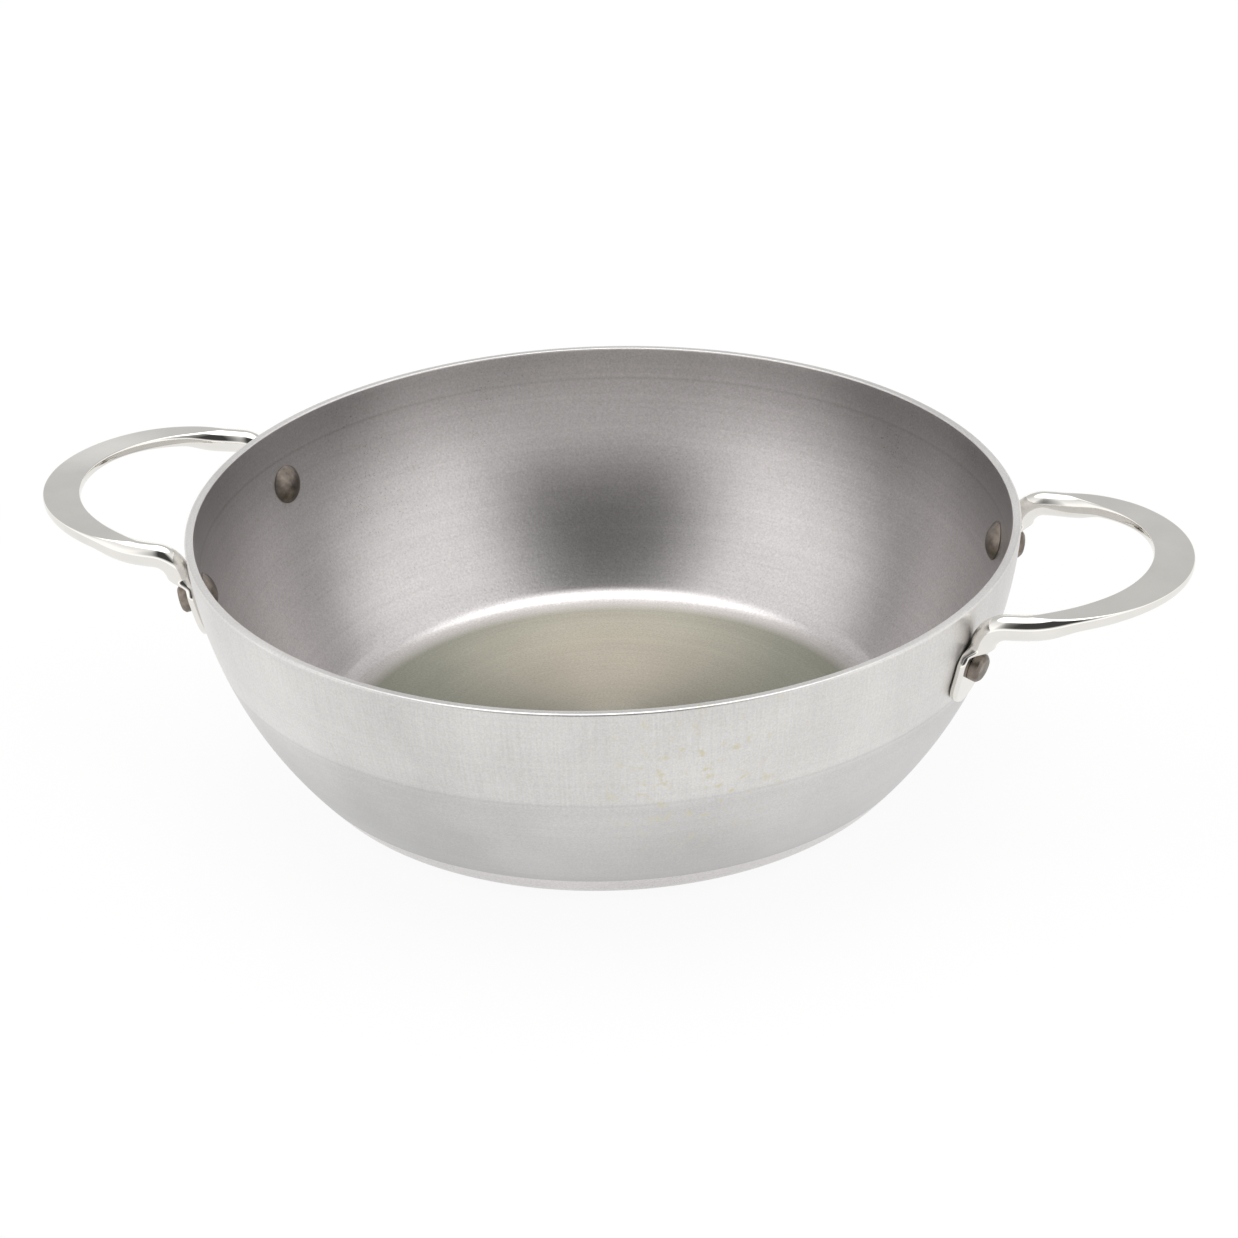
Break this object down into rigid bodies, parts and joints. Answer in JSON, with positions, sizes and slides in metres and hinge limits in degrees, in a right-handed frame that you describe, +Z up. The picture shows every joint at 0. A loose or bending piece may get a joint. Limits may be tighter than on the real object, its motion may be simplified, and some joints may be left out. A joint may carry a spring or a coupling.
{
  "type": "kadai",
  "caption": "Flat-bottomed steel kadai: a deep round bowl with looped bar handles riveted on opposite sides, for frying and braising on a hob.",
  "frame": {"origin": "centre of the flat base, on the surface the pan stands on", "axes": "+Z up through the open top, +X from the bowl's centre to the right handle, +Y to the rear"},
  "size_m": [0.395, 0.2798, 0.088],
  "materials": {
    "bowl_steel": "bare carbon steel sheet, satin, with a fine circular grain",
    "handle_steel": "mirror polished stainless steel bar",
    "rivet_steel": "dark oxidised steel, slightly glossy"
  },
  "bodies": {
    "root": {"bowl": "bowl_steel", "handle_right": "handle_steel", "handle_left": "handle_steel", "rivet_right_rear": "rivet_steel", "rivet_right_front": "rivet_steel", "rivet_left_rear": "rivet_steel", "rivet_left_front": "rivet_steel"}
  },
  "joints": []
}
